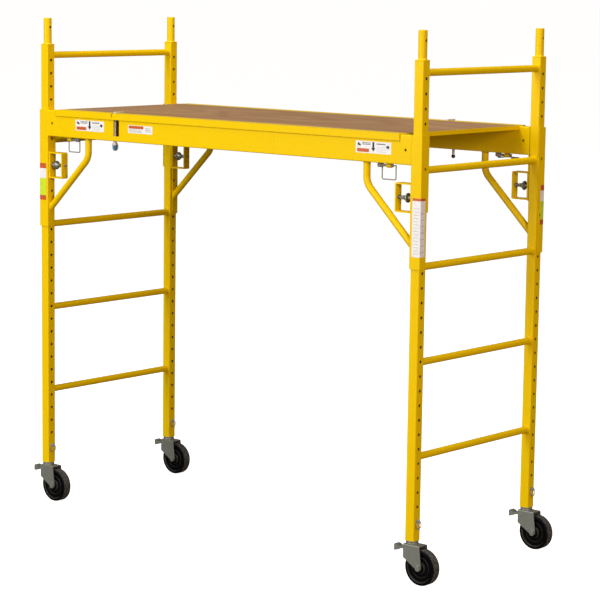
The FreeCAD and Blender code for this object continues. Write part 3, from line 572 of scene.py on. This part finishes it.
SHORT_PRINT = [("red", 0.0, 0.86, 1.0, 1.0), ("green", 0.0, 0.125, 1.0, 0.59), ("red", 0.0, 0.0, 1.0, 0.125)]
INKS = {"red": 0, "grey": 1, "black": 2, "green": 3, "pale": 4}
LABEL_CORNER = 0.00325
WRAP_STEPS = 60
TALL_LABEL = 0.17
WIDE_LABEL = 0.14


class Print:
    """Collects patches of ink that lie on the labels."""

    def __init__(self):
        self.vertices = []
        self.faces = []
        self.inks = []

    def face(self, ink, points):
        start = len(self.vertices)
        self.vertices += points
        self.faces.append(tuple(range(start, len(self.vertices))))
        self.inks.append(INKS[ink])

    def flat(self, origin, across, up, pattern):
        lift = across.cross(up).normalized() * PRINT_HEIGHT
        for ink, left, bottom, right, top in pattern:
            shares = ((left, bottom), (right, bottom), (right, top), (left, top))
            self.face(ink, [origin + across * u + up * v + lift for u, v in shares])

    def arrow(self, origin, across, up, tail, tip, width):
        """A black arrow from tail to tip, which are shares of the label's width and height."""
        lift = across.cross(up).normalized() * PRINT_HEIGHT
        start = origin + across * tail[0] + up * tail[1] + lift
        run = across * (tip[0] - tail[0]) + up * (tip[1] - tail[1])
        wing = lift.normalized().cross(run).normalized() * width
        neck, head = 0.62, 2.2
        shares = ((0, -1), (neck, -1), (neck, -head), (1, 0), (neck, head), (neck, 1), (0, 1))
        self.face("black", [start + run * u + wing * v for u, v in shares])

    def wrapped(self, wrap, low, high, pattern):
        """Ink on a label that turns a corner. wrap(share) is the point at a share of its width."""
        for ink, left, bottom, right, top in pattern:
            z0, z1 = (low + (high - low) * share for share in (bottom, top))
            columns = [wrap(left + (right - left) * i / WRAP_STEPS) for i in range(WRAP_STEPS + 1)]
            for a, b in zip(columns, columns[1:]):
                self.face(ink, [a + Z * z0, b + Z * z0, b + Z * z1, a + Z * z1])


def corner_wrap(low, high, side, depth):
    """The way across a sleeve's label, from its end on the front or back face round to the outer side."""
    inner, outer = (low.x, high.x) if side > 0 else (high.x, low.x)
    face, end = (high.y, low.y) if depth > 0 else (low.y, high.y)
    radius = LABEL_CORNER + PRINT_HEIGHT
    first = abs(outer - inner) - LABEL_CORNER
    arc = radius * math.pi / 2
    last = abs(face - end) - LABEL_CORNER
    pivot = Vector((outer - side * LABEL_CORNER, face - depth * LABEL_CORNER, 0))

    def wrap(share):
        way = share * (first + arc + last)
        if way < first:
            return Vector((inner + side * way, face + depth * PRINT_HEIGHT, 0))
        if way < first + arc:
            turn = (way - first) / radius
            return pivot + Vector((side * math.sin(turn), depth * math.cos(turn), 0)) * radius
        return Vector((outer + side * PRINT_HEIGHT, pivot.y - depth * (way - first - arc), 0))

    return wrap


def label_prints():
    ink = Print()
    for low, high in islands("labels"):
        depth = 1 if low.y > 0 else -1
        width, height = high.x - low.x, high.z - low.z
        if width < height:
            wrap = corner_wrap(low, high, 1 if low.x > 0 else -1, depth)
            ink.wrapped(wrap, low.z, high.z, TALL_PRINT if height > TALL_LABEL else SHORT_PRINT)
            continue
        origin = Vector((low.x, low.y, low.z)) if depth < 0 else Vector((high.x, high.y, low.z))
        across, up = X * width * -depth, Z * height
        large = width > WIDE_LABEL
        ink.flat(origin, across, up, LARGE_PRINT if large else SMALL_PRINT)
        if large:
            ink.arrow(origin, across, up, (0.50, 0.94), (0.50, 0.16), 0.0042)
            ink.arrow(origin, across, up, (0.14, 0.64), (0.05, 0.78), 0.0034)
            ink.arrow(origin, across, up, (0.87, 0.62), (0.95, 0.56), 0.0042)
    materials = [RED_INK, GREY_INK, BLACK_INK, GREEN_INK, PALE_INK]
    make_piece(
        "label_print", "platform", "label_film", materials, ink.vertices, ink.faces, ink.inks, smooth=False,
    )


def build_pieces():
    rung_welds()
    collar_welds()
    platform_welds()
    coil_springs()
    label_prints()


# ---------------------------------------------------------------- studio


def studio():
    floor = bpy.data.meshes.new("floor")
    ground = [(x * FLOOR_REACH, y * FLOOR_REACH, 0) for x, y in ((-1, -1), (1, -1), (1, 1), (-1, 1))]
    floor.from_pydata(ground, [], [(0, 1, 2, 3)])
    floor.materials.append(floor_paint())
    floor_object = bpy.data.objects.new("floor", floor)
    bpy.context.scene.collection.objects.link(floor_object)
    world = bpy.data.worlds.new("studio")
    bpy.context.scene.world = world
    world.use_nodes = True
    tree = world.node_tree
    ambient = tree.nodes["Background"]
    ambient.inputs["Color"].default_value = (1.0, 0.91, 0.82, 1.0)
    ambient.inputs["Strength"].default_value = AMBIENT
    backdrop = tree.nodes.new("ShaderNodeBackground")
    backdrop.inputs["Color"].default_value = (1.0, 1.0, 1.0, 1.0)
    path = tree.nodes.new("ShaderNodeLightPath")
    mixed = tree.nodes.new("ShaderNodeMixShader")
    tree.links.new(path.outputs["Is Camera Ray"], mixed.inputs[0])
    tree.links.new(ambient.outputs[0], mixed.inputs[1])
    tree.links.new(backdrop.outputs[0], mixed.inputs[2])
    tree.links.new(mixed.outputs[0], tree.nodes["World Output"].inputs["Surface"])
    softbox("high_key", (-1.2, -5.6, 6.2), (0.0, 0.0, 0.9), 2.2, 260.0, (0.98, 0.99, 1.0))
    softbox("front_fill", (-2.6, -8.4, 2.6), (0.0, 0.0, 0.9), 3.4, 310.0, (0.98, 0.99, 1.0))
    softbox("top", (0.4, -0.6, 6.5), (0.0, 0.0, 1.2), 4.0, 170.0, (1.0, 0.98, 0.94))
    softbox("right_side", (10.5, -5.4, 3.8), (0.0, 0.0, 0.9), 4.0, 680.0, (1.0, 0.80, 0.66))


def softbox(name, place, target, size, power, colour):
    """A square area light of a size in metres and a power in watts, turned towards target."""
    light = bpy.data.lights.new(name, "AREA")
    light.shape = "SQUARE"
    light.color = colour
    light.size = size
    light.energy = power
    lamp = bpy.data.objects.new(name, light)
    lamp.location = place
    lamp.rotation_euler = (Vector(target) - Vector(place)).to_track_quat("-Z", "Y").to_euler()
    bpy.context.scene.collection.objects.link(lamp)


def camera():
    """A long lens at the front right corner, a little above the platform and looking slightly down."""
    data = bpy.data.cameras.new("camera")
    data.sensor_width = 36.0
    data.lens = 134.1
    data.clip_end = 1000.0
    item = bpy.data.objects.new("camera", data)
    azimuth, elevation, roll = math.radians(40.42), math.radians(8.2), math.radians(0.79)
    looking = Matrix.Rotation(azimuth, 3, "Z") @ Matrix.Rotation(math.pi / 2 - elevation, 3, "X")
    item.matrix_world = (looking @ Matrix.Rotation(roll, 3, "Z")).to_4x4()
    item.location = (5.4866, -6.3526, 2.0746)
    bpy.context.scene.collection.objects.link(item)
    bpy.context.scene.camera = item


dress_cad_nodes()
build_pieces()
studio()
camera()
bpy.context.scene.view_settings.view_transform = "Standard"
